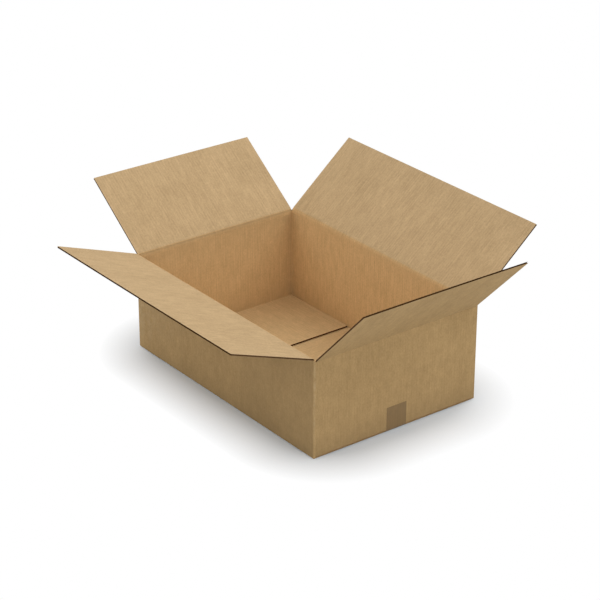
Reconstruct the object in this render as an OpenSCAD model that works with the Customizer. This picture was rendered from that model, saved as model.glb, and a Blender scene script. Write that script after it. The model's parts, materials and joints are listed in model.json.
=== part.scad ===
// Open corrugated shipping box: a slotted carton, taped shut below, with its four top flaps folded back.
// Millimetres, +X along the length, +Z up, and the origin at the middle of the underside.
// One sheet makes the walls and flaps. Its flutes run up the walls and along every flap.

/* [Box] */
// Inside length, between the end walls
inner_length = 600; // [440:10:1200]
// Inside width, between the long walls
inner_width = 400; // [200:10:420]
// Inside height, from the inner bottom flaps to the closed inner top flaps
inner_height = 200; // [100:5:500]

/* [Board] */
// Thickness of the corrugated board
board = 3; // [2.4:0.1:5]
// Thickness of each flat paper liner
liner = 0.3; // [0.2:0.05:0.5]
// Thickness of the fluted paper between the liners
medium = 0.25; // [0.15:0.05:0.4]
// Length of one flute wave
flute_pitch = 6.5; // [5:0.1:9]
// Width of the flat at the crest of a flute, where it is glued to a liner
flute_land = 1.1; // [0.8:0.1:1.6]

/* [Folds and cuts] */
// Inside radius of a fixed fold
fold_inside = 0.5; // [0.2:0.1:2]
// Room that a corner slot leaves beyond the outside of a fold, on each side
slot_clearance = 0.25; // [0.1:0.05:3]
// Gap between the free edges of the two long flaps when they lie closed
flap_gap = 4; // [1:0.5:20]
// Width of the crushed band, with no flutes, that runs on from the bevel of a flap's score
crushed_band = 4; // [2:0.5:10]
// Gap between the two sides of a top score
score_clearance = 0.1; // [0.05:0.05:0.3]
// Room between the closed inner top flaps and the outer ones
stack_clearance = 0.1; // [0.1:0.05:1]

/* [Glued joint] */
// How far the joint tab reaches along the inside of the right end wall
tab_width = 35; // [25:1:60]
// How much each end of the tab is cut back at its free edge
tab_taper = 10; // [4:1:20]
// Room between the tab and the flaps above and below it
tab_clearance = 1; // [0.5:0.5:5]

/* [Tape] */
// Width of the closing tape
tape_width = 50; // [38:1:75]
// Thickness of the closing tape
tape_thickness = 0.1; // [0.05:0.01:0.3]
// Height of the tape's tails up the end walls
tape_tail = 55; // [25:5:90]

/* [Open top flaps] */
// Lean of the front flap outwards from upright, in degrees
front_open = 70; // [-90:1:175]
// Lean of the back flap outwards from upright, in degrees
back_open = 50; // [-90:1:175]
// Lean of the left flap outwards from upright, in degrees
left_open = 54; // [-90:1:175]
// Lean of the right flap outwards from upright, in degrees
right_open = 44; // [-90:1:175]

/* [Hidden] */

outer_length = inner_length + 2 * board;
outer_width = inner_width + 2 * board;
fold_outside = fold_inside + board;
slot_half = fold_outside + slot_clearance;
flap_reach = (outer_width - flap_gap) / 2;
long_span = outer_length - 2 * slot_half;
end_span = outer_width - 2 * slot_half;

// Levels, from the ground up
long_fold_z = tape_thickness;
end_fold_z = long_fold_z + board;
floor_z = end_fold_z + board;
slot_z = floor_z + inner_height;
tab_low = floor_z + tab_clearance;
tab_high = slot_z - tab_clearance;
end_score_z = slot_z + board;
long_score_z = end_score_z + board + stack_clearance;

// Section of the fluted paper, a wave with flat crests
flute_rise = board - 2 * liner - medium;
flute_slope = atan2(flute_rise, flute_pitch / 2 - flute_land);
land_outside = flute_land + medium * tan(flute_slope / 2);
land_inside = flute_land - medium * tan(flute_slope / 2);

fold_steps = 6;
kraft = "#a68a61";
tape_brown = "#7d6547";

function arc(centre, radius, from, to, steps = fold_steps) =
    [for (i = [0:steps])
        let (a = from + (to - from) * i / steps)
        centre + radius * [cos(a), sin(a)]];

function mirrored(points) = [for (i = [len(points) - 1:-1:0]) [-points[i].x, points[i].y]];

// Moves a piece made at the front wall, with the wall's outer face on y = 0, to one of the four walls.
module at_wall(side) {
    turn = side == "front" ? 0 : side == "right" ? 90 : side == "back" ? 180 : 270;
    out = (turn % 180 == 0 ? outer_width : outer_length) / 2;
    rotate([0, 0, turn]) translate([0, -out, 0]) children();
}

// Stretches a profile drawn in the YZ plane along X, over a span about the middle.
module along_wall(span) {
    translate([-span / 2, 0, 0])
        rotate([90, 0, 90])
            linear_extrude(span)
                children();
}

// One channel of air under a flute, as wide as it can be where it meets the liner.
module flute_channel() {
    wide = flute_pitch - land_outside;
    polygon([[-wide / 2, 0], [-land_inside / 2, flute_rise], [land_inside / 2, flute_rise], [wide / 2, 0]]);
}

// Cut edge of the board across its flutes: two liners, with the fluted paper between them.
module board_section(span) {
    waves = ceil(span / flute_pitch / 2);
    difference() {
        translate([-span / 2, 0]) square([span, board]);
        for (i = [-waves:waves]) {
            translate([i * flute_pitch, liner]) flute_channel();
            translate([(i + 0.5) * flute_pitch, board - liner]) mirror([0, 1]) flute_channel();
        }
    }
}

// A wall of the carton with the bottom flap that is folded from it.
module folded_panel(span, fold_z, score_z) {
    bend = [fold_outside, fold_z + fold_outside];
    along_wall(span)
        polygon(concat(
            [[flap_reach, fold_z]],
            arc(bend, fold_outside, 270, 180),
            [[0, score_z - score_clearance / 2]],
            [[board, score_z - board - score_clearance / 2]],
            arc(bend, fold_inside, 180, 270),
            [[flap_reach, fold_z + board]]
        ));
}

// Plan of a vertical fold at the corner [0, 0], between a leg along +X and a leg along +Y.
module corner_plan() {
    bend = [fold_outside, fold_outside];
    polygon(concat(
        [[slot_half, 0]],
        arc(bend, fold_outside, 270, 180),
        [[0, slot_half]],
        [[board, slot_half]],
        arc(bend, fold_inside, 180, 270),
        [[slot_half, board]]
    ));
}

// Moves a piece made at the front left corner, with that corner's outer faces on x = 0 and y = 0.
// A quarter turn takes it to the next corner, in the order front left, front right, back right, back left.
module at_corner(quarter_turns) {
    side = [[-1, -1], [1, -1], [1, 1], [-1, 1]][quarter_turns];
    translate([side.x * outer_length / 2, side.y * outer_width / 2, 0])
        rotate([0, 0, 90 * quarter_turns])
            children();
}

// The three plain vertical folds, between the slots above and below.
module corner_folds() {
    for (quarter_turns = [0, 1, 3])
        at_corner(quarter_turns)
            translate([0, 0, end_fold_z])
                linear_extrude(slot_z - end_fold_z)
                    corner_plan();
}

// Back right corner: the raw edge of the end wall, and the tab of the back wall glued behind it.
module glued_joint() {
    at_corner(2) {
        translate([0, 0, end_fold_z])
            cube([board, slot_half, slot_z - end_fold_z]);
        translate([board, 0, tab_low])
            linear_extrude(tab_high - tab_low)
                corner_plan();
        translate([board, 0, 0])
            rotate([90, 0, 90])
                linear_extrude(board)
                    polygon([
                        [slot_half, tab_low],
                        [slot_half, tab_high],
                        [board + tab_width, tab_high - tab_taper],
                        [board + tab_width, tab_low + tab_taper]
                    ]);
    }
}

// What comes off the back wall where it turns in, behind the raw edge, to become the tab.
module joint_rounding() {
    bend = [fold_outside, fold_outside];
    at_corner(2)
        translate([board, 0, tab_low])
            linear_extrude(tab_high - tab_low)
                polygon(concat([[0, 0], [0, fold_outside]], arc(bend, fold_outside, 180, 270)));
}

module carton_body() {
    color(kraft)
        difference() {
            union() {
                for (side = ["front", "back"])
                    at_wall(side) folded_panel(long_span, long_fold_z, long_score_z);
                for (side = ["left", "right"])
                    at_wall(side) folded_panel(end_span, end_fold_z, end_score_z);
                corner_folds();
                glued_joint();
            }
            joint_rounding();
        }
}

// A top flap standing on its score, which is the X axis, and leaning outwards by an angle.
module top_flap(span, open) {
    bevel_top = board + score_clearance / 2;
    flutes_from = bevel_top + crushed_band;
    color(kraft)
        rotate([open, 0, 0]) {
            along_wall(span)
                polygon([[0, score_clearance / 2], [board, bevel_top], [board, flutes_from], [0, flutes_from]]);
            translate([0, 0, flutes_from])
                linear_extrude(flap_reach - flutes_from)
                    board_section(span);
        }
}

module long_top_flap(side, open) {
    at_wall(side) translate([0, 0, long_score_z]) top_flap(long_span, open);
}

module end_top_flap(side, open) {
    at_wall(side) translate([0, 0, end_score_z]) top_flap(end_span, open);
}

// One side of half the tape, from the middle of the box out and up an end wall, at a depth into the tape.
function tape_path(depth) =
    let (
        leave = [outer_length / 2 - slot_half, long_fold_z],
        bend = [outer_length / 2 - fold_outside, end_fold_z + fold_outside],
        reach = bend - leave,
        climb = atan2(reach.y, reach.x) - asin(fold_outside / norm(reach)),
        step = (90 - climb) / fold_steps,
        radius = (fold_outside + depth) / cos(step / 2)
    )
    concat(
        [[leave.x + depth * tan(climb / 2), leave.y - depth]],
        arc(bend, radius, climb - 90 + step / 2, -step / 2, fold_steps - 1),
        [[outer_length / 2 + depth, tape_tail]]
    );

module bottom_tape() {
    skin = tape_path(0);
    back = tape_path(tape_thickness);
    upper = concat(mirrored(skin), skin);
    lower = concat(mirrored(back), back);
    color(tape_brown)
        translate([0, tape_width / 2, 0])
            rotate([90, 0, 0])
                linear_extrude(tape_width)
                    polygon(concat(upper, [for (i = [len(lower) - 1:-1:0]) lower[i]]));
}

carton_body();
long_top_flap("front", front_open);  // front_flap
long_top_flap("back", back_open);  // back_flap
end_top_flap("left", left_open);  // left_flap
end_top_flap("right", right_open);  // right_flap
bottom_tape();
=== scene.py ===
"""Looks of the open corrugated box: board with true edges, bent liners at the scores, paper and tape."""

import json
import math

import bmesh
import bpy
import numpy as np
from mathutils import Matrix, Vector


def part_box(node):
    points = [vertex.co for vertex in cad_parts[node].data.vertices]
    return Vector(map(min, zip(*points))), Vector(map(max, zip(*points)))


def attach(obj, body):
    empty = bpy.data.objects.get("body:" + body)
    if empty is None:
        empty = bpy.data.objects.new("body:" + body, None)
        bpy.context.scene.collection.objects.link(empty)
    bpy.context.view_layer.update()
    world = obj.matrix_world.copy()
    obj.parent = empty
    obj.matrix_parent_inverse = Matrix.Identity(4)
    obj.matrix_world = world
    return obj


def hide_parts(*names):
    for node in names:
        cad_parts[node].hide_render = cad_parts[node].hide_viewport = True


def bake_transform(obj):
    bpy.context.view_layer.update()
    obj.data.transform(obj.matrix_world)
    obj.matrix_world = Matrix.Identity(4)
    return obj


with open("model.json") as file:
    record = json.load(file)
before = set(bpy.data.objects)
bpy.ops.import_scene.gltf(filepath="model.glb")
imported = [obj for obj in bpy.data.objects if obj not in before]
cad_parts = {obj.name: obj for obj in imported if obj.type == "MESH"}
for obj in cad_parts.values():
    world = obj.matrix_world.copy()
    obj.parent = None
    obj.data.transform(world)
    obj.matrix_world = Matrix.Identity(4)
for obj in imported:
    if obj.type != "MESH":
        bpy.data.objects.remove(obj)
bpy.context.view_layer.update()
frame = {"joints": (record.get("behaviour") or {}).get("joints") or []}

# Sizes of the board and the tape, as in the part's source, in metres
BOARD = 0.003
LINER = 0.0003
MEDIUM = 0.00025
PITCH = 0.0065
FOLD_INSIDE = 0.0005
FOLD_OUTSIDE = FOLD_INSIDE + BOARD
SLOT_CLEARANCE = 0.00025
SLOT_HALF = FOLD_OUTSIDE + SLOT_CLEARANCE
FLAP_GAP = 0.004
SCORE_GAP = 0.0001
TAB_WIDTH = 0.035
TAB_TAPER = 0.010
TAB_CLEARANCE = 0.001
TAPE_THICKNESS = 0.0001
TAPE_WIDTH = 0.050
TAPE_TAIL = 0.055

# Places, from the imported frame
body_low, body_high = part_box("carton_body")
OUTER_LENGTH = body_high.x - body_low.x
OUTER_WIDTH = body_high.y - body_low.y
HINGES = {joint["child"]: joint for joint in frame["joints"]}
LONG_SCORE = HINGES["front_flap"]["pos_m"][2]
END_SCORE = HINGES["left_flap"]["pos_m"][2]
LONG_FOLD = TAPE_THICKNESS
END_FOLD = LONG_FOLD + BOARD
FLOOR = END_FOLD + BOARD
SLOT = END_SCORE - BOARD
REACH = (OUTER_WIDTH - FLAP_GAP) / 2
LONG_SPAN = OUTER_LENGTH - 2 * SLOT_HALF
END_SPAN = OUTER_WIDTH - 2 * SLOT_HALF
CORNER_RUN = 2 * SLOT_CLEARANCE + FOLD_OUTSIDE * math.pi / 2

# Board beside a top score: the share of its thickness that is left, the band without a washboard on the wall
# and on the flap, with the length over which the washboard comes back, and how far the bevel cuts back
CRUSHED = 0.92
WALL_BAND, WALL_BAND_FADE = 0.004, 0.006
FLAP_BAND, FLAP_BAND_FADE = 0.006, 0.005
BEVEL = 0.7

# Distances of rows of points from a cut edge, from the foot of a wall, and from a top score
EDGE_ROWS = (0, 0.0004, 0.001, 0.002, 0.004, 0.008)
FOOT_ROWS = (0, 0.002, 0.006)
SCORE_ROWS = (0.008, 0.005)
CRUSHED_ROW = 0.0035
# How far the even rows between them keep from a foot and a score
PLAIN_MARGIN = 0.02
# Numbers of even rows, of steps round a fold, and of facets to a flute
FLAT_ROWS = 8
WALL_ROWS = 9
TAB_ROWS = 8
STRIP_ROWS = 16
FOLD_STEPS = 8
CORNER_STEPS = 10
FACETS_PER_FLUTE = 6
# How much closer the rows of an upright strip are near the ground, where the painted shade changes fast
STRIP_CROWDING = 1.5

# The flutes' print-through in the liners, and where it fades beside a cut side and a bottom fold
WASHBOARD = 0.00006
WASHBOARD_FADE = 0.004
FOLD_FADE = 0.006
# Depth of the open flutes at a free edge, and of the hollow between the liners at a cut side
FLUTE_DEPTH = 0.012
SIDE_DEPTH = 0.0022
# The fluted paper in there: how far it stays behind the sides and the free edge, the share of the depth that
# it fills, how round its crests are, and the share of a liner's thickness that they leave clear
MEDIUM_INSET = 0.0004
MEDIUM_START = 0.00015
MEDIUM_FILL = 0.999
MEDIUM_CREST = 1.25
MEDIUM_CLEAR = 0.7
MEDIUM_FACETS = 10

# How far the free edges of the inner bottom flaps stand up from the outer ones
END_FLAP_RISE = 0.0011
# How far the middle of each wall bulges out
BULGES = {"front": 0.0008, "back": 0.0006, "left": 0.0, "right": 0.0}
# Curl of each top flap at its free edge, inwards or outwards, and its twist
CURLS = {
    "front": (-0.0009, 0.00035),
    "back": (-0.0007, -0.00025),
    "left": (0.0007, 0.00025),
    "right": (0.0011, -0.0003),
}
# The share of the curl that is lost at the two ends of the free edge
CURL_LOSS = 0.6

# The inner liner over a score, from the wall's face to the middle of the fold: (in, up) from the hinge line
LINER_FACE = BOARD + 0.00002
SCORE_PROFILE = (
    (LINER_FACE, -0.0072),
    (LINER_FACE, -0.0062),
    (LINER_FACE, -0.0052),
    (0.00299, -0.0044),
    (0.00294, -0.0037),
    (0.00286, -0.003),
    (0.00277, -0.0023),
    (0.00268, -0.0016),
    (0.00261, -0.0009),
    (0.00257, -0.0004),
)
SCORE_MIDDLE = 0.00256
# Reach of the painted shade and the ripples over the middle of a score
SCORE_WIDTH = 0.0022
SCORE_FACETS = 4
# Height of the ripple from the flutes, and of an uneven one from two waves, in radians per metre
FLUTE_RIPPLE = 0.00005
UNEVEN_RIPPLE, UNEVEN_WAVES = 0.00004, (311, 97)
# Share of the liner's angle that the outer side takes up, close round the hinge line
HINGE_ARC = 0.6
# How many rows of the flap's half are painted darker with the fold, as painted shade
SCORE_SHADE_ROWS = 4

# Height of a corner's top beside the score of a long flap, and beside that of an end flap
LONG_TOP, END_TOP = LONG_SCORE - 0.0004, END_SCORE - 0.0001

# The tape: its facets across, and its rows along half the bottom and up a tail
TAPE_FACETS, BOTTOM_ROWS, TAIL_ROWS = 160, 24, 14
# Its torn teeth, the seam that it is pressed into, where that ends, and room to the faces of the CAD tape
TOOTH_DEPTH, TOOTH_HALF = 0.0005, 0.0025
SEAM_DEPTH, SEAM_HALF = 0.0003, 0.0013
SEAM_END = 0.006
TAPE_ROOM = 0.00001

# Wear and painted light on the paper, as an amount, and often how far it reaches. Rub and painted light make
# it paler, and painted shade darker.
# Rub is along the cut edges of the flaps, with a painted highlight there, and over the upright folds
EDGE_RUB_AND_HIGHLIGHT, EDGE_RUB_AND_HIGHLIGHT_REACH = 0.5, 0.0015
FOLD_RUB = 0.6
# Painted shade outside, darker towards the ground
GROUND_PAINTED_SHADE, GROUND_REACH = 0.56, 0.035
# Painted shade inside: darker beside the corners, above the floor, below the top, and down from the top of
# the end walls
CORNER_PAINTED_SHADE, CORNER_REACH = 0.45, 0.022
SEAM_PAINTED_SHADE, SEAM_REACH = 0.5, 0.028
TOP_PAINTED_SHADE, TOP_REACH = 0.2, 0.02
END_PAINTED_SHADE, END_REACH = 0.36, 0.15
# Painted shade over the scores of the end walls, and over the bottom inside
CREASE_PAINTED_SHADE = 0.75
FLOOR_PAINTED_SHADE = 0.38
# The front wall is painted paler towards its left end, as painted light, and darker over its right half, as
# painted shade
FRONT_PAINTED_LIGHT, FRONT_PAINTED_LIGHT_REACH = 0.6, 0.09
FRONT_PAINTED_SHADE, FRONT_PAINTED_SHADE_RAMP = 0.28, 0.12

# The paper's own scale: where the walls and the scores start on it, and how far off the inner liner's lies
PAPER_RISE = REACH
SCORE_RISE = 0.205
INNER_SHEET = 7.0

# Order of the looks on a piece of board
OUTSIDE, INSIDE, CUT_EDGE, FLUTE, CUT_SIDE = range(5)

UP = np.array([0.0, 0.0, 1.0])
# The walls in their order round the box, each a quarter turn on from the one before
SIDES = ("front", "right", "back", "left")


def is_long(side):
    return side in ("front", "back")


def span_of(side):
    return LONG_SPAN if is_long(side) else END_SPAN


def score_of(side):
    return LONG_SCORE if is_long(side) else END_SCORE


def wall_frame(side):
    """Where a wall stands: middle of its foot on its outer face, its direction, and the way in."""
    turn = SIDES.index(side) * math.pi / 2
    along = np.array([math.cos(turn), math.sin(turn), 0.0]).round(12)
    inward = np.array([-math.sin(turn), math.cos(turn), 0.0]).round(12)
    out = OUTER_WIDTH / 2 if is_long(side) else OUTER_LENGTH / 2
    return {"origin": -inward * out, "along": along, "inward": inward, "up": UP}


def flap_lean(side):
    """How far a top flap leans out from upright: its hinge closes it to 90 degrees inwards."""
    return math.radians(-HINGES[side + "_flap"]["range_deg"][0] - 90)


def flap_frame(side):
    """The same for a top flap, from its score up along the flap."""
    wall, lean = wall_frame(side), flap_lean(side)
    return {
        "origin": wall["origin"] + UP * score_of(side),
        "along": wall["along"],
        "inward": wall["inward"] * math.cos(lean) + UP * math.sin(lean),
        "up": UP * math.cos(lean) - wall["inward"] * math.sin(lean),
    }


def places_round():
    """Distance round the box at the middle of each wall, so that streaks in the paper run on over a fold."""
    places, start = {}, 0.0
    for side in SIDES:
        places[side] = start + span_of(side) / 2
        start += span_of(side) + CORNER_RUN
    return places


ROUND_AT = places_round()


def smooth(x):
    """Goes gently from 0 to 1 while x goes from 0 to 1."""
    x = np.clip(x, 0.0, 1.0)
    return x * x * (3 - 2 * x)


class Shell:
    """Grids of points that are welded into one closed mesh."""

    WELD = 2e-6
    NO_LENGTH = 1e-7

    def __init__(self):
        self.points, self.maps, self.wear, self.faces, self.looks = [], [], [], [], []
        self.count = 0

    def grid(self, points, paper, wear=0.0, look=OUTSIDE):
        """Adds a sheet of four-sided faces. paper is where each point is on the paper, across and along."""
        rows, columns = points.shape[:2]
        index = self.count + np.arange(rows * columns).reshape(rows, columns)
        quads = np.stack([index[:-1, :-1], index[1:, :-1], index[1:, 1:], index[:-1, 1:]], -1).reshape(-1, 4)
        self.points.append(points.reshape(-1, 3))
        self.maps.append(paper.reshape(-1, 2))
        self.wear.append(np.broadcast_to(wear, (rows, columns)).ravel())
        self.faces.append(quads)
        self.looks.append(np.full(len(quads), look))
        self.count += rows * columns

    def close(self, sheets, paper, row_look=OUTSIDE, column_look=OUTSIDE):
        """Adds the four narrow sides between two sheets of one size."""
        for row in (0, -1):
            strip = np.stack([sheet[row] for sheet in sheets])
            self.grid(strip, np.stack([paper[row]] * 2), 0.0, row_look)
        for column in (0, -1):
            strip = np.stack([sheet[:, column] for sheet in sheets])
            self.grid(strip, np.stack([paper[:, column]] * 2), 0.0, column_look)

    def build(self, name, materials, body, sharp_above=35):
        """Makes the piece, on a body or on none. Its edges are sharp above an angle in degrees."""
        mesh = bpy.data.meshes.new(name)
        mesh.from_pydata(np.concatenate(self.points).tolist(), [], np.concatenate(self.faces).tolist())
        loops = np.zeros(len(mesh.loops), np.int32)
        mesh.loops.foreach_get("vertex_index", loops)
        layer = mesh.uv_layers.new(name="paper")
        layer.data.foreach_set("uv", np.concatenate(self.maps)[loops].astype(np.float32).ravel())
        wear = mesh.attributes.new("wear", "FLOAT", "POINT")
        wear.data.foreach_set("value", np.concatenate(self.wear).astype(np.float32))
        mesh.polygons.foreach_set("material_index", np.concatenate(self.looks).astype(np.int32))
        for material in materials:
            mesh.materials.append(material)
        work = bmesh.new()
        work.from_mesh(mesh)
        bmesh.ops.remove_doubles(work, verts=work.verts, dist=self.WELD)
        bmesh.ops.dissolve_degenerate(work, edges=work.edges, dist=self.NO_LENGTH)
        bmesh.ops.recalc_face_normals(work, faces=work.faces)
        work.to_mesh(mesh)
        work.free()
        mesh.shade_smooth()
        mesh.set_sharp_from_angle(angle=math.radians(sharp_above))
        made = bpy.data.objects.new(name, mesh)
        bpy.context.scene.collection.objects.link(made)
        if body:
            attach(made, body)
        return made


# A board's profile is a list of rows. Each is the place of the outer face, as (in, up), the way from there
# through the board's thickness, and the distance along the profile.


def straight(start, end, through, distances, run):
    """Rows along a straight stretch of a profile, at distances from its start."""
    start, end = np.array(start, float), np.array(end, float)
    direction = (end - start) / np.linalg.norm(end - start)
    return [(start + direction * d, np.array(through, float), run + d) for d in distances]


def bend(centre, radius, first, last, run):
    """Rows round an outer bend, between two angles in degrees and without its two ends."""
    turn = math.radians(abs(last - first))
    rows = []
    for i in range(1, FOLD_STEPS):
        angle = math.radians(first + (last - first) * i / FOLD_STEPS)
        way = np.array([math.cos(angle), math.sin(angle)])
        rows.append((np.array(centre) + radius * way, -way, run + radius * turn * i / FOLD_STEPS))
    return rows


def from_cut_edge(length):
    """Distances along a stretch that starts at a cut edge, with one where the open flutes end."""
    return [*EDGE_ROWS, *np.linspace(FLUTE_DEPTH, length, FLAT_ROWS)]


def wall_rows(fold_z, score_z):
    """Profile of a wall with its bottom flap, from the flap's free edge up to the bevel of the top score.

    Also gives how far along it the flap ends, and the wall starts.
    """
    flat = REACH - FOLD_OUTSIDE
    rows = straight((REACH, fold_z), (FOLD_OUTSIDE, fold_z), (0, 1), from_cut_edge(flat), 0)
    rows += bend((FOLD_OUTSIDE, fold_z + FOLD_OUTSIDE), FOLD_OUTSIDE, 270, 180, flat)
    run = flat + FOLD_OUTSIDE * math.pi / 2
    foot, rise = fold_z + FOLD_OUTSIDE, score_z - fold_z - FOLD_OUTSIDE
    heights = [*FOOT_ROWS, *np.linspace(PLAIN_MARGIN, rise - PLAIN_MARGIN, WALL_ROWS)]
    heights += [rise - d for d in SCORE_ROWS]
    rows += straight((0, foot), (0, score_z), (1, 0), heights, run)
    rows += straight((0, foot), (0, score_z), (CRUSHED, 0), [rise - CRUSHED_ROW], run)
    rows.append((np.array([0, score_z - SCORE_GAP / 2]), np.array([BEVEL, -BEVEL]), run + rise))
    return rows, flat, run


def flap_rows():
    """Profile of a top flap, from its free edge down to the bevel of its score."""
    rows = straight((0, REACH), (0, 0), (1, 0), from_cut_edge(REACH - PLAIN_MARGIN), 0)
    rows += straight((0, REACH), (0, 0), (1, 0), [REACH - d for d in SCORE_ROWS], 0)
    rows += straight((0, REACH), (0, 0), (CRUSHED, 0), [REACH - CRUSHED_ROW], 0)
    rows.append((np.array([0.0, SCORE_GAP / 2]), np.array([BEVEL, BEVEL]), REACH))
    return rows


def cut_rub_and_highlight(gap, run):
    """Rub with a painted highlight along the cut edges of a flap, from the gaps to its sides and to its free
    edge.
    """
    return EDGE_RUB_AND_HIGHLIGHT * np.maximum(np.exp(-gap / EDGE_RUB_AND_HIGHLIGHT_REACH), np.exp(-run / EDGE_RUB_AND_HIGHLIGHT_REACH))


# Painted shade, darker towards the ground
def ground_painted_shade(height):
    return GROUND_PAINTED_SHADE * np.exp(-np.maximum(height, 0) / GROUND_REACH)


# Painted shade inside, darker towards the floor
def seam_painted_shade(height):
    return SEAM_PAINTED_SHADE * np.exp(-np.maximum(height, 0) / SEAM_REACH)


def placed(where, across, profile):
    """Points in the row frame, from places across the board and (in, up) pairs."""
    return (
        where["origin"]
        + where["along"] * across[..., None]
        + where["inward"] * profile[..., 0:1]
        + where["up"] * profile[..., 1:2]
    )


def board(shell, where, rows, span, round_at, paper_from, ribbed, warp, wear):
    """A stretch of corrugated board, with open flutes at its first row and a bevel at its last.

    ribbed gives how much of the washboard shows at distances from the first row. warp gives how far the board
    is moved inwards, and wear the wear and painted light and shade of its outer and inner side, from places
    across it and distances.
    """
    count = round(span / PITCH * FACETS_PER_FLUTE)
    across = np.linspace(-span / 2, span / 2, count + 1)
    outer, through, run = (np.array(part) for part in zip(*rows))
    unit = through / np.linalg.norm(through, axis=1)[:, None]
    every_row = np.arange(len(rows))
    side_gap = span / 2 - np.abs(across)
    ribs = WASHBOARD * smooth(side_gap / WASHBOARD_FADE)[None, :] * ribbed(run)[:, None]
    wave = np.cos(2 * math.pi * across / PITCH)[None, :]
    lift = warp(across[None, :] / (span / 2), run[:, None])

    def surface(depth, across_at=across, row=every_row):
        """Points at a depth into the board, on every row or with each row taken from another one."""
        depth = np.broadcast_to(depth, (len(rows), len(across_at)))
        lifted = np.stack([np.interp(across_at, across, lift[r]) for r in row])
        profile = outer[row][:, None, :] + through[row][:, None, :] * depth[..., None]
        profile = profile + unit[row][:, None, :] * lifted[..., None]
        return placed(where, np.broadcast_to(across_at, profile.shape[:2]), profile)

    def paper(shift):
        u = np.broadcast_to(round_at + across[None, :] + shift, lift.shape)
        return np.stack([u, np.broadcast_to(paper_from(run)[:, None], lift.shape)], -1)

    outer_skin, outer_paper = surface(ribs * (1 - wave) / 2), paper(0.0)
    inner_skin, inner_paper = surface(BOARD - ribs * (1 + wave) / 2), paper(INNER_SHEET)
    outer_wear, inner_wear = wear(across[None, :], run[:, None])
    shell.grid(outer_skin, outer_paper, outer_wear, OUTSIDE)
    shell.grid(inner_skin, inner_paper, inner_wear, INSIDE)

    # The last row's bevel, between the two skins
    bevel = np.stack([outer_skin[-1], inner_skin[-1]])
    shell.grid(bevel, np.stack([outer_paper[-1], inner_paper[-1]]), 0.0, FLUTE)

    # Round the three cut sides: liner edge, down into the flutes, across, and back up to the other liner
    floor_row = next(i for i, distance in enumerate(run) if distance >= FLUTE_DEPTH)
    sunk_row = np.maximum(every_row, floor_row)
    inset = across * (1 - SIDE_DEPTH / (span / 2))
    rims = [
        outer_skin,
        surface(LINER),
        surface(LINER, inset, sunk_row),
        surface(BOARD - LINER, inset, sunk_row),
        surface(BOARD - LINER),
        inner_skin,
    ]

    def border(points):
        return np.concatenate([points[::-1, 0], points[0, 1:], points[1:, -1]])

    bands = np.stack([border(points) for points in rims])
    band_map = np.stack([border(outer_paper)] * len(rims))
    near, far = len(rows), len(rows) + count
    parts = ((slice(0, near), CUT_SIDE), (slice(near - 1, far), CUT_EDGE), (slice(far - 1, None), CUT_SIDE))
    for i in range(len(rims) - 1):
        for part, look in parts:
            shell.grid(bands[i : i + 2, part], band_map[i : i + 2, part], 0.0, look)
    # The open ends of the side bands, at the bevel
    for side in (0, -1):
        ends = np.array([points[-1, side] for points in rims])
        tip = np.stack([ends[:3], ends[:2:-1]])
        shell.grid(tip, np.broadcast_to(outer_paper[-1, side], (2, 3, 2)), 0.0, CUT_EDGE)


def medium(shell, where, rows, span, round_at, warp):
    """The fluted paper behind a cut edge, as a thin wave as deep as the open flutes."""
    half = span / 2 - MEDIUM_INSET
    across = np.linspace(-half, half, round(span / PITCH * MEDIUM_FACETS) + 1)
    swing = (BOARD - 2 * LINER - MEDIUM) / 2
    wave = swing * np.cos(2 * math.pi * across / PITCH)
    wave = np.sign(wave) * swing * (1 - (1 - np.abs(wave) / swing) ** MEDIUM_CREST)
    slant = np.sqrt(1 + np.gradient(wave, across) ** 2)
    least, most = LINER * MEDIUM_CLEAR, BOARD - LINER * MEDIUM_CLEAR
    depths = [np.clip(BOARD / 2 + wave + way * MEDIUM / 2 * slant, least, most) for way in (-1, 1)]
    ends = (MEDIUM_START, FLUTE_DEPTH * MEDIUM_FILL)
    (start, through, start_run), (beyond, _, beyond_run) = rows[:2]
    direction = (beyond - start) / (beyond_run - start_run)
    sheets = []
    for depth in depths:
        lines = []
        for run in ends:
            lift = warp(across / (span / 2), np.full_like(across, run))
            profile = start + direction * run + through * (depth + lift)[:, None]
            lines.append(placed(where, across, profile))
        sheets.append(np.stack(lines))
    paper = np.stack([np.stack([round_at + across, np.full_like(across, run)], -1) for run in ends])
    for sheet in sheets:
        shell.grid(sheet, paper, 0.0, FLUTE)
    shell.close(sheets, paper, CUT_EDGE, CUT_EDGE)


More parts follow.
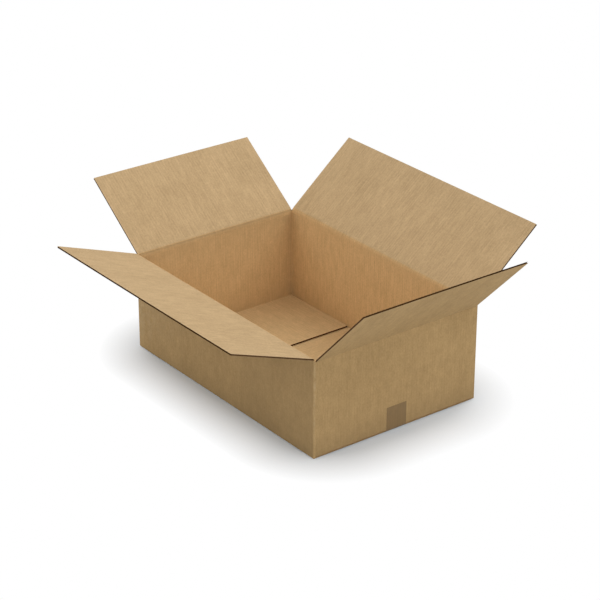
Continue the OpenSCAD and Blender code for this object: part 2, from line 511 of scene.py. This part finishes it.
def crease(side):
    """The crushed board over a top score: the inner liner round it, and filled out to the hinge line."""
    lean = flap_lean(side)
    wall, flap = wall_frame(side), flap_frame(side)
    where = {**wall, "origin": wall["origin"] + UP * score_of(side)}
    span = span_of(side) - 2 * LINER
    across = np.linspace(-span / 2, span / 2, round(span / PITCH * SCORE_FACETS) + 1)
    # The flap's half of the profile mirrors the wall's
    angles = [math.atan2(z, y) for y, z in SCORE_PROFILE]
    radii = [math.hypot(y, z) for y, z in SCORE_PROFILE]
    angles = np.array(angles + [lean / 2] + [lean - a for a in angles[::-1]])
    radii = np.array(radii + [SCORE_MIDDLE] + radii[::-1])
    steps = np.hypot(np.diff(radii * np.cos(angles)), np.diff(radii * np.sin(angles)))
    length = np.concatenate([[0], np.cumsum(steps)])
    middle = np.exp(-(((length - length[-1] / 2) / SCORE_WIDTH) ** 2))
    fast, slow = UNEVEN_WAVES
    ripple = FLUTE_RIPPLE * np.cos(2 * math.pi * across / PITCH)
    ripple = ripple + UNEVEN_RIPPLE * np.cos(across * fast) * np.sin(across * slow)
    top = radii[:, None] + middle[:, None] * ripple
    # Its outer side closes the gap of the score, about the hinge line itself, so it stays there in every pose
    hinge_side = np.full_like(top, SCORE_GAP)
    hinge_angles = lean / 2 + HINGE_ARC * (angles - lean / 2)
    sheets = []
    for radius, way in ((top, angles), (hinge_side, hinge_angles)):
        profile = np.stack([radius * np.cos(way)[:, None], radius * np.sin(way)[:, None]], -1)
        sheets.append(placed(where, np.broadcast_to(across, radius.shape), profile))
    u = np.broadcast_to(ROUND_AT[side] + across + INNER_SHEET, top.shape)
    paper = np.stack([u, np.broadcast_to(SCORE_RISE + length[:, None], top.shape)], -1)
    # Painted shade below the top of the wall, and on the end walls also down from the top and over the middle
    # of the score
    wall_painted_shade, fold_painted_shade = (TOP_PAINTED_SHADE, 0.0) if is_long(side) else (TOP_PAINTED_SHADE + END_PAINTED_SHADE, CREASE_PAINTED_SHADE)
    painted_shade = wall_painted_shade * smooth(1 - length / length[-1]) + fold_painted_shade * middle
    wear = np.broadcast_to(-painted_shade[:, None], top.shape)
    shell = Shell()
    # The liner is painted darker, as painted shade in the crease, from the middle of the score to a little
    # way up the flap
    fold_row = len(SCORE_PROFILE)
    unshaded_row = fold_row + SCORE_SHADE_ROWS
    looks = [paper_interior_painted_light, paper_inside, edge_paper, paper_outside, paper_score_painted_shade]
    parts = (
        (slice(0, fold_row + 1), paper_interior_painted_light),
        (slice(fold_row, unshaded_row + 1), paper_score_painted_shade),
        (slice(unshaded_row, None), paper_inside),
    )
    for part, look in parts:
        shell.grid(sheets[0][part], paper[part], wear[part], looks.index(look))
    shell.grid(sheets[1], paper, 0.0, looks.index(paper_outside))
    shell.close(sheets, paper, looks.index(edge_paper), looks.index(edge_paper))
    made = shell.build(side + "_score", looks, None, sharp_above=50)
    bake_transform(made)


def plan_strip(shell, outer, ways, low_z, high_z, paper_u, rubbed=0.0, cuts=(CUT_SIDE, CUT_EDGE)):
    """Board that stands along a path in plan: a fold between two walls, or the glued tab.

    cuts gives the looks of its level ends and of its upright ones.
    """
    outer, ways = np.array(outer), np.array(ways)
    low_z, high_z = (np.broadcast_to(z, len(outer)) for z in (low_z, high_z))
    share = np.linspace(0, 1, STRIP_ROWS)[:, None] ** STRIP_CROWDING
    z = low_z + (high_z - low_z) * share

    def sheet(depth):
        flat = outer + ways * depth
        return np.concatenate([np.broadcast_to(flat, (STRIP_ROWS, *flat.shape)), z[..., None]], -1)

    sheets = [sheet(0), sheet(BOARD)]
    u = np.broadcast_to(np.array(paper_u), z.shape)
    outer_paper, inner_paper = (np.stack([u + shift, z + PAPER_RISE], -1) for shift in (0.0, INNER_SHEET))
    # Outside, painted shade darker towards the ground
    shell.grid(sheets[0], outer_paper, rubbed - ground_painted_shade(z - END_FOLD - FOLD_OUTSIDE), OUTSIDE)
    # Inside, painted shade beside the corner and towards the floor
    shell.grid(sheets[1], inner_paper, -CORNER_PAINTED_SHADE - seam_painted_shade(z - FLOOR), INSIDE)
    shell.close(sheets, outer_paper, *cuts)


def corner_path(at, way_a, way_b):
    """Plan of a fold from a leg along way_a to a leg along way_b, from the outside corner point."""
    at, way_a, way_b = (np.array(v, float) for v in (at, way_a, way_b))
    centre = at + (way_a + way_b) * FOLD_OUTSIDE
    points, ways, run = [at + way_a * SLOT_HALF], [way_b], [0.0]
    for i in range(CORNER_STEPS + 1):
        angle = math.pi / 2 * i / CORNER_STEPS
        way = -(way_b * math.cos(angle) + way_a * math.sin(angle))
        points.append(centre + way * FOLD_OUTSIDE)
        ways.append(-way)
        run.append(SLOT_CLEARANCE + FOLD_OUTSIDE * angle)
    points.append(at + way_b * SLOT_HALF)
    ways.append(way_a)
    run.append(CORNER_RUN)
    return points, ways, run


class Graph:
    """Short forms for building the nodes of a material or a world."""

    def __init__(self, owner, shader="Principled BSDF"):
        owner.use_nodes = True
        self.owner = owner
        self.nodes = owner.node_tree.nodes
        self.links = owner.node_tree.links
        self.shader = self.nodes[shader]

    def feed(self, socket, value):
        """Links a value to a socket, or sets it there."""
        if isinstance(value, bpy.types.NodeSocket):
            self.links.new(value, socket)
        else:
            socket.default_value = value

    def add(self, kind, inputs=(), **settings):
        node = self.nodes.new(kind)
        for key, value in settings.items():
            setattr(node, key, value)
        for key, value in dict(inputs).items():
            self.feed(node.inputs[key], value)
        return node

    def set(self, **sockets):
        """Sets inputs of the shader."""
        for key, value in sockets.items():
            self.feed(self.shader.inputs[key.replace("_", " ")], value)

    def math(self, operation, *values):
        return self.add("ShaderNodeMath", dict(enumerate(values)), operation=operation).outputs[0]

    def total(self, *values):
        made = values[0]
        for value in values[1:]:
            made = self.math("ADD", made, value)
        return made

    def times(self, value, factor):
        return self.math("MULTIPLY", value, factor)

    def ramp(self, value, start, end):
        """From 0 to 1 while a value goes from start to end."""
        return self.add("ShaderNodeMapRange", {"Value": value, "From Min": start, "From Max": end}).outputs[0]

    def paper(self, across, along):
        """The place on the sheet, in waves per metre across and along the flutes."""
        uv = self.add("ShaderNodeUVMap", uv_map="paper").outputs[0]
        scale = {0: uv, 1: (across, along, 1.0)}
        return self.add("ShaderNodeVectorMath", scale, operation="MULTIPLY").outputs[0]

    def flutes(self):
        """A wave across the flutes, from -1 to 1."""
        turns = self.add("ShaderNodeSeparateXYZ", {0: self.paper(2 * math.pi / PITCH, 1)}).outputs[0]
        return self.math("COSINE", turns)

    def noise(self, vector, scale=1.0, detail=2.0, roughness=0.5):
        """Noise about 0, from about -0.5 to 0.5."""
        inputs = {"Vector": vector, "Scale": scale, "Detail": detail, "Roughness": roughness}
        value = self.add("ShaderNodeTexNoise", inputs).outputs["Fac"]
        return self.math("SUBTRACT", value, 0.5)

    def mix(self, factor, a, b):
        node = self.add("ShaderNodeMix", data_type="RGBA")
        for key, value in (("Factor", factor), ("A", a), ("B", b)):
            self.feed(next(s for s in node.inputs if s.name == key and s.enabled), value)
        return next(s for s in node.outputs if s.enabled)

    def bump(self, height, strength, distance):
        node = self.add("ShaderNodeBump", {"Height": height, "Strength": strength, "Distance": distance})
        self.links.new(node.outputs[0], self.shader.inputs["Normal"])

    def seen(self):
        """1 for rays from the camera, also by way of glossy and clear things, and 0 for the light's own."""
        rays = self.add("ShaderNodeLightPath").outputs
        seen = self.math("MAXIMUM", rays["Is Camera Ray"], rays["Is Glossy Ray"])
        return self.math("MAXIMUM", seen, rays["Is Transmission Ray"])


def tint(colour, factors):
    return (*[min(1.0, c * f) for c, f in zip(colour, factors)], 1.0)


def shade(colour, factor):
    return tint(colour, (factor, factor, factor))


# Noise in the paper: waves per metre across and along the flutes, detail and roughness
PAPER_NOISE = {
    "clouds": (16, 7, 3, 0.5),
    "patches": (80, 38, 3, 0.6),
    "streaks": (260, 20, 2.5, 0.55),
    "mottle": (330, 210, 2.5, 0.6),
    "fibres": (420, 2100, 3, 0.65),
    "flecks": (300, 1300, 1.5, 0.5),
    "rub": (60, 60, 3, 0.5),
}
# Factors on a paper's colour where it is darkest and palest, in its flecks, and where painted shade darkens
# it
DARKEST, PALEST = (0.80, 0.785, 0.75), (1.2, 1.215, 1.25)
FLECKED = (0.5, 0.48, 0.45)
PAINTED_SHADE_TINT = (0.6, 0.61, 0.63)
# Colour of rubbed paper, also used for painted highlights and painted light, and how much of it shows
RUB_AND_PAINTED_LIGHT_COLOUR, RUB_AND_PAINTED_LIGHT_SHARE = (0.66, 0.52, 0.34, 1.0), 0.45
# The noise that makes a fleck, and how much of it shows
FLECK_NOISE, FLECK_SHARE = (0.16, 0.24), 0.22
# The noise that goes from no patch to a full one, and how much painted shade shows: in all, everywhere and in
# patches
PATCH_NOISE = (-0.15, 0.2)
PAINTED_SHADE_SHARE, PAINTED_SHADE_EVEN, PAINTED_SHADE_PATCHY = 0.8, 0.8, 0.4


def kraft(name, colour, clouds=1.0, stripes=1.0):
    """Kraft liner: cloudy paper, with streaks and print-through along the flutes, and fibres across them."""
    g = Graph(bpy.data.materials.new(name))
    noise = {}
    for layer, (across, along, detail, roughness) in PAPER_NOISE.items():
        noise[layer] = g.noise(g.paper(across, along), detail=detail, roughness=roughness)
    amount = g.total(
        g.times(noise["clouds"], 0.55 * clouds),
        g.times(noise["patches"], 0.75 * clouds),
        g.times(noise["streaks"], 0.95 * stripes),
        g.times(noise["mottle"], 1.1),
        g.times(noise["fibres"], 0.7),
        g.times(g.flutes(), 0.05 * stripes),
        0.5,
    )
    tone = g.mix(amount, tint(colour, DARKEST), tint(colour, PALEST))
    tone = g.mix(g.times(g.ramp(noise["flecks"], *FLECK_NOISE), FLECK_SHARE), tone, tint(colour, FLECKED))
    # Rub and painted light are above 0 and painted shade below it, and both are patchy
    wear = g.add("ShaderNodeAttribute", attribute_name="wear").outputs["Fac"]
    patchy = g.ramp(noise["rub"], *PATCH_NOISE)
    rub = g.times(g.math("MAXIMUM", g.times(wear, patchy), 0.0), RUB_AND_PAINTED_LIGHT_SHARE)
    tone = g.mix(rub, tone, RUB_AND_PAINTED_LIGHT_COLOUR)
    painted_shade_amount = g.times(g.times(wear, -PAINTED_SHADE_SHARE), g.total(g.times(patchy, PAINTED_SHADE_PATCHY), PAINTED_SHADE_EVEN))
    tone = g.mix(g.math("MAXIMUM", painted_shade_amount, 0.0), tone, tint(colour, PAINTED_SHADE_TINT))
    roughness = g.total(g.times(noise["patches"], 0.12), g.times(noise["fibres"], 0.1), 0.87)
    g.set(Base_Color=tone, Roughness=roughness, Specular_IOR_Level=0.25)
    g.bump(g.total(noise["fibres"], g.times(noise["patches"], 0.8)), 0.35, 0.00008)
    return g.owner


def cut_edge(name, colour):
    """Torn fibres of a cut edge."""
    g = Graph(bpy.data.materials.new(name))
    place = g.add("ShaderNodeTexCoord").outputs["Object"]
    fluff = g.noise(place, scale=1900, detail=3, roughness=0.65)
    tone = g.mix(g.total(g.times(fluff, 1.3), 0.5), shade(colour, 0.6), shade(colour, 1.4))
    g.set(Base_Color=tone, Roughness=g.total(g.times(fluff, 0.1), 0.93), Specular_IOR_Level=0.1)
    g.bump(fluff, 0.5, 0.0001)
    return g.owner


def tape_film(name, colour):
    """Matt brown packing tape, with the board's flutes and small air pockets under it."""
    g = Graph(bpy.data.materials.new(name))
    grain = g.noise(g.paper(900, 120), detail=2)
    pockets = g.noise(g.paper(90, 60), detail=3, roughness=0.6)
    ridges = g.flutes()
    amount = g.total(g.times(grain, 0.5), g.times(pockets, 0.9), g.times(ridges, 0.06), 0.5)
    tone = g.mix(amount, shade(colour, 0.84), shade(colour, 1.16))
    roughness = g.total(g.times(pockets, 0.2), 0.5)
    g.set(Base_Color=tone, Roughness=roughness, Specular_IOR_Level=0.4)
    g.bump(g.total(pockets, g.times(ridges, 0.25)), 0.3, 0.0001)
    return g.owner


# The outer liner, the inner one on the top flaps, the same painted paler and more orange inside the box as
# painted light, and a darker one along the scores as painted shade
paper_outside = kraft("kraft_outside", (0.413, 0.268, 0.117), clouds=1.3, stripes=0.5)
paper_inside = kraft("kraft_inside", (0.50, 0.347, 0.183))
paper_interior_painted_light = kraft("kraft_interior", (0.682, 0.464, 0.228), clouds=0.8)
paper_score_painted_shade = kraft("kraft_score", (0.54, 0.348, 0.158))
# Cut edges across the flutes and the fluted paper in them, on the top flaps and inside the box
edge_paper = cut_edge("cut_edge", (0.083, 0.036, 0.010))
edge_inside = cut_edge("cut_edge_inside", (0.09, 0.022, 0.002))
flute_paper = cut_edge("flute_paper", (0.165, 0.082, 0.030))
flute_inside = cut_edge("flute_inside", (0.155, 0.048, 0.008))
# Cut sides along the flutes
# The walls' cut sides are paler than the cut ends, as real cut sides are, and paler than the liner too, as
# painted light in the shaded gap at the end walls' foot
cut_side = cut_edge("cut_side", (0.50, 0.33, 0.16))
flap_side = cut_edge("flap_side", (0.165, 0.09, 0.042))
tape_brown = tape_film("packing_tape", (0.222, 0.136, 0.052))
# In the order of the looks on a piece of board
WALL_LOOKS = [paper_outside, paper_interior_painted_light, edge_inside, flute_inside, cut_side]
FLAP_LOOKS = [paper_outside, paper_inside, edge_paper, flute_paper, flap_side]


def make_wall(side):
    """One wall of the carton, with its bottom flap."""
    span, score_z = span_of(side), score_of(side)
    rows, flat, wall_from = wall_rows(LONG_FOLD if is_long(side) else END_FOLD, score_z)
    top = rows[-1][2]

    def ribbed(run):
        beside_fold = np.minimum(smooth((flat - run) / FOLD_FADE) + smooth((run - wall_from) / FOLD_FADE), 1)
        return beside_fold * smooth((top - WALL_BAND - run) / WALL_BAND_FADE)

    def warp(share, run):
        on_wall = np.sin(np.clip((run - wall_from) / (top - wall_from), 0, 1) * math.pi) ** 2
        rise = 0.0 if is_long(side) else END_FLAP_RISE * np.clip(1 - run / flat, 0, 1) ** 2
        return rise - BULGES[side] * (1 - share**2) ** 2 * on_wall

    def wear(across, run):
        gap = span / 2 - np.abs(across)
        # Rub with a painted highlight along the bottom flap's cut edges
        rubbed = cut_rub_and_highlight(gap, run) * (run < flat)
        standing = run >= wall_from
        # Outside, painted shade darker towards the ground
        outer = rubbed - ground_painted_shade(run - wall_from) * (run >= flat)
        # On the front wall, painted light towards its left end and painted shade over its right half
        if side == "front":
            painted_light = FRONT_PAINTED_LIGHT * np.exp(-(across + span / 2) / FRONT_PAINTED_LIGHT_REACH)
            outer = outer + (painted_light - FRONT_PAINTED_SHADE * smooth(across / FRONT_PAINTED_SHADE_RAMP)) * standing
        # Inside, painted shade beside the corners, towards the floor and below the top, on the end walls also
        # down from the top, and over the whole bottom
        painted_shade = CORNER_PAINTED_SHADE * np.exp(-gap / CORNER_REACH) + seam_painted_shade(run - wall_from - FOLD_INSIDE)
        painted_shade = painted_shade + TOP_PAINTED_SHADE * np.exp((run - top) / TOP_REACH)
        if not is_long(side):
            painted_shade = painted_shade + END_PAINTED_SHADE * np.exp((run - top) / END_REACH)
        inner = rubbed - np.where(standing, painted_shade, FLOOR_PAINTED_SHADE)
        return outer, inner

    shell = Shell()
    where = wall_frame(side)
    board(shell, where, rows, span, ROUND_AT[side], lambda run: run, ribbed, warp, wear)
    medium(shell, where, rows, span, ROUND_AT[side], warp)
    return shell.build(side + "_wall", WALL_LOOKS, "carton")


def make_corners():
    """The three plain folds between the walls."""
    half_x, half_y = OUTER_LENGTH / 2, OUTER_WIDTH / 2
    corners = {
        "front_right_fold": ((half_x, -half_y), (-1, 0), (0, 1), ROUND_AT["front"] + LONG_SPAN / 2),
        "front_left_fold": ((-half_x, -half_y), (0, 1), (1, 0), ROUND_AT["left"] + END_SPAN / 2),
        "back_left_fold": ((-half_x, half_y), (1, 0), (0, -1), ROUND_AT["back"] + LONG_SPAN / 2),
    }
    for name, (at, way_a, way_b, start) in corners.items():
        points, ways, run = corner_path(at, way_a, way_b)
        rubbed = FOLD_RUB * np.sin(np.array(run) / CORNER_RUN * math.pi)
        # Its two ends, which touch the walls, stop at the slot, as they do in the part's source
        tops = np.interp(run, [0, CORNER_RUN], [LONG_TOP, END_TOP] if way_a[0] else [END_TOP, LONG_TOP])
        tops[[0, -1]] = SLOT
        shell = Shell()
        plan_strip(shell, points, ways, END_FOLD, tops, start + np.array(run), rubbed)
        shell.build(name, WALL_LOOKS, "carton")


def make_glued_joint():
    """Back right corner: the end wall's raw edge, flush with the back wall's face, and the tab behind it."""
    half_x, half_y = OUTER_LENGTH / 2, OUTER_WIDTH / 2
    shell = Shell()
    start = ROUND_AT["right"] + END_SPAN / 2
    steps = np.array([0, SLOT_CLEARANCE, SLOT_HALF])
    path = [(half_x, half_y - SLOT_HALF + step) for step in steps]
    plan_strip(shell, path, [(-1, 0)] * 3, END_FOLD, (SLOT, END_TOP, LONG_TOP), start + steps)
    shell.build("glued_raw_edge", WALL_LOOKS, "carton")
    # The tab, from the back wall round the fold and along the inside of the end wall
    points, ways, run = corner_path((half_x - BOARD, half_y), (-1, 0), (0, -1))
    last, end = points[-1], np.array([half_x - BOARD, half_y - BOARD - TAB_WIDTH])
    stretch = np.linspace(0, 1, TAB_ROWS)[1:]
    taper = np.array([0.0] * len(points) + [TAB_TAPER * share for share in stretch])
    points += [last + (end - last) * share for share in stretch]
    ways += [np.array([-1.0, 0.0])] * len(stretch)
    run += [run[-1] + np.linalg.norm(end - last) * share for share in stretch]
    low, high = FLOOR + TAB_CLEARANCE + taper, SLOT - TAB_CLEARANCE - taper
    shell = Shell()
    start = ROUND_AT["back"] - LONG_SPAN / 2 - CORNER_RUN
    plan_strip(shell, points, ways, low, high, start - np.array(run), cuts=(FLUTE, FLUTE))
    shell.build("glued_tab", WALL_LOOKS, "carton")


def make_flap(side):
    """A top flap, and the liner over its score."""
    curl, twist = CURLS[side]
    span = span_of(side)
    rows = flap_rows()
    wall_top = PAPER_RISE + LONG_SCORE

    def ribbed(run):
        return smooth((REACH - FLAP_BAND - run) / FLAP_BAND_FADE)

    def warp(share, run):
        out = np.clip(1 - run / REACH, 0, 1)
        return out**2 * (curl * (1 - CURL_LOSS * share**2) + twist * share)

    def wear(across, run):
        # Rub with a painted highlight along the cut edges
        rubbed = cut_rub_and_highlight(span / 2 - np.abs(across), run)
        return rubbed, rubbed

    def paper_from(run):
        return wall_top + REACH - run

    shell = Shell()
    where = flap_frame(side)
    board(shell, where, rows, span, ROUND_AT[side], paper_from, ribbed, warp, wear)
    medium(shell, where, rows, span, ROUND_AT[side], warp)
    flap = shell.build(side + "_flap_board", FLAP_LOOKS, side + "_flap")
    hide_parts(side + "_flap")
    crease(side)


def tape_path():
    """The tape's inner side from tail to tail: places in (x, z), and the angles that they face."""
    half = OUTER_LENGTH / 2
    leave = np.array([half - SLOT_HALF, LONG_FOLD])
    centre = np.array([half - FOLD_OUTSIDE, END_FOLD + FOLD_OUTSIDE])
    reach = centre - leave
    climb = math.atan2(reach[1], reach[0]) - math.asin(FOLD_OUTSIDE / np.linalg.norm(reach))
    down = math.radians(-90)
    # Along the middle of the bottom, where it leaves the board, round the fold, and up the end wall
    spots = [(np.array([x, LONG_FOLD]), down) for x in np.linspace(0, leave[0], BOTTOM_ROWS)[:-1]]
    spots.append((leave, down + climb / 2))
    for angle in np.linspace(down + climb, 0, FOLD_STEPS + 1):
        spots.append((centre + FOLD_OUTSIDE * np.array([math.cos(angle), math.sin(angle)]), angle))
    spots += [(np.array([half, z]), 0.0) for z in np.linspace(centre[1], TAPE_TAIL, TAIL_ROWS)[1:]]
    spots = [(place * [-1, 1], math.pi - angle) for place, angle in spots[:0:-1]] + spots
    return np.array([place for place, _ in spots]), np.array([angle for _, angle in spots])


def make_tape():
    """The closing tape: along the bottom seam and up both end walls, with torn teeth at its two ends."""
    path, angles = tape_path()
    facing = np.stack([np.cos(angles), np.sin(angles)], -1)
    run = np.concatenate([[0], np.cumsum(np.linalg.norm(np.diff(path, axis=0), axis=1))])
    y = np.linspace(-TAPE_WIDTH / 2, TAPE_WIDTH / 2, TAPE_FACETS + 1)
    teeth = TOOTH_DEPTH * np.abs((y / TOOTH_HALF) % 2 - 1)
    # It is pressed up into the seam between the two outer bottom flaps
    seam = SEAM_DEPTH * np.exp(-((y / SEAM_HALF) ** 2))
    under_box = (np.abs(path[:, 0]) < OUTER_LENGTH / 2 - SEAM_END)[:, None]
    layers = []
    for depth in (TAPE_ROOM, TAPE_THICKNESS - TAPE_ROOM):
        spot = path[:, None, :] + facing[:, None, :] * depth * np.ones((1, len(y), 1))
        spot[..., 1] += under_box * seam
        spot[0, :, 1] -= teeth
        spot[-1, :, 1] -= teeth
        layers.append(np.stack([spot[..., 0], np.broadcast_to(y, spot.shape[:2]), spot[..., 1]], -1))
    size = layers[0].shape[:2]
    paper = np.stack([np.broadcast_to(y, size), np.broadcast_to(run[:, None], size)], -1)
    shell = Shell()
    for layer in layers:
        shell.grid(layer, paper)
    shell.close(layers, paper)
    tape = shell.build("closing_tape", [tape_brown], "carton")
    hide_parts("bottom_tape")


walls = [make_wall(side) for side in BULGES]
make_corners()
make_glued_joint()
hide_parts("carton_body")
for side in CURLS:
    make_flap(side)
make_tape()

# Camera, from the photograph's perspective: azimuth, elevation, roll, distance and aim, and the focal length
# as a share of the sensor's width
AZIMUTH, ELEVATION, ROLL = math.radians(52.69), math.radians(25.55), math.radians(0.11)
DISTANCE = 4.30297
AIM_RIGHT, AIM_UP = -0.00492, 0.14865
FOCAL_SHARE = 3.4712
back = Vector((
    math.sin(AZIMUTH) * math.cos(ELEVATION),
    -math.cos(AZIMUTH) * math.cos(ELEVATION),
    math.sin(ELEVATION),
))
level_right = Vector((math.cos(AZIMUTH), math.sin(AZIMUTH), 0))
level_up = back.cross(level_right)
right = level_right * math.cos(ROLL) + level_up * math.sin(ROLL)
up = level_up * math.cos(ROLL) - level_right * math.sin(ROLL)
camera_data = bpy.data.cameras.new("camera")
camera_data.sensor_width = 36
camera_data.lens = FOCAL_SHARE * camera_data.sensor_width
camera_data.clip_end = 50
camera = bpy.data.objects.new("camera", camera_data)
bpy.context.scene.collection.objects.link(camera)
turned = Matrix((right, up, back)).transposed().to_4x4()
camera.matrix_world = Matrix.Translation(right * AIM_RIGHT + up * AIM_UP + back * DISTANCE) @ turned
bpy.context.scene.camera = camera

# Studio: a white floor that keeps the shadow, a white dome, and a soft light from each side
FLOOR_HALF = 12
# The floor turns to plain white between two distances from a rounded rectangle, about as large as the box
FOOT_X, FOOT_Y = OUTER_LENGTH / 2 + 0.006, OUTER_WIDTH / 2 - 0.006
FADE_START, FADE_END, FADE_CORNER = 0.014, 0.125, 0.10
# Colour of the floor at that rectangle, painted bluer there to tint the box's shadow cool, and at this
# distance from it
PAINTED_SHADOW_TINT, PALE_BEYOND, PALE_REACH = (0.76, 0.833, 0.915, 1), (0.80, 0.833, 0.865, 1), 0.08
# Strength of the dome's light, where the camera sees 1, and how wide each side light is
DOME = 0.47
SOFTNESS = math.radians(60)
# The side that each light comes from and its height, in degrees, and its strength
SIDE_LIGHTS = ((90, 30, 0.83), (270, 50, 0.58), (180, 50, 1.06), (0, 30, 0.57))


def floor_paint():
    """Matt white that the camera sees turn to plain white away from the box's foot."""
    g = Graph(bpy.data.materials.new("floor_paint"))
    place = g.add("ShaderNodeSeparateXYZ", {0: g.add("ShaderNodeTexCoord").outputs["Object"]})
    beyond = []
    for axis, size in enumerate((FOOT_X, FOOT_Y)):
        past = g.math("SUBTRACT", g.math("ABSOLUTE", place.outputs[axis]), size - FADE_CORNER)
        past = g.math("MAXIMUM", past, 0.0)
        beyond.append(g.math("MULTIPLY", past, past))
    gap = g.math("SUBTRACT", g.math("SQRT", g.total(*beyond)), FADE_CORNER)
    plain = g.math("MULTIPLY", g.ramp(gap, FADE_START, FADE_END), g.seen())
    # The floor is painted bluer near the box, a cool tint painted into its shadow
    pale = g.mix(g.ramp(gap, 0.0, PALE_REACH), PAINTED_SHADOW_TINT, PALE_BEYOND)
    matt = g.add("ShaderNodeBsdfDiffuse", {"Color": pale}).outputs[0]
    white = g.add("ShaderNodeEmission", {"Color": (1, 1, 1, 1), "Strength": 1.0}).outputs[0]
    mixed = g.add("ShaderNodeMixShader", {0: plain, 1: matt, 2: white})
    g.links.new(mixed.outputs[0], g.nodes["Material Output"].inputs["Surface"])
    g.nodes.remove(g.shader)
    return g.owner


floor_mesh = bpy.data.meshes.new("floor")
floor_corners = [(x * FLOOR_HALF, y * FLOOR_HALF, 0) for x, y in ((-1, -1), (1, -1), (1, 1), (-1, 1))]
floor_mesh.from_pydata(floor_corners, [], [(0, 1, 2, 3)])
floor = bpy.data.objects.new("floor", floor_mesh)
bpy.context.scene.collection.objects.link(floor)
floor_mesh.materials.append(floor_paint())

dome = Graph(bpy.data.worlds.new("studio"), "Background")
bpy.context.scene.world = dome.owner
brightness = dome.add("ShaderNodeMapRange", {"Value": dome.seen(), "To Min": DOME, "To Max": 1.0}).outputs[0]
dome.set(Color=(1, 1, 1, 1), Strength=brightness)

for turn, height, strength in SIDE_LIGHTS:
    lamp_data = bpy.data.lights.new("side_light", "SUN")
    lamp_data.energy = strength
    lamp_data.angle = SOFTNESS
    lamp = bpy.data.objects.new("side_light", lamp_data)
    bpy.context.scene.collection.objects.link(lamp)
    turn, height = math.radians(turn), math.radians(height)
    way = Vector((math.sin(turn) * math.cos(height), -math.cos(turn) * math.cos(height), math.sin(height)))
    lamp.rotation_euler = way.to_track_quat("Z", "Y").to_euler()

bpy.context.scene.view_settings.view_transform = "Standard"
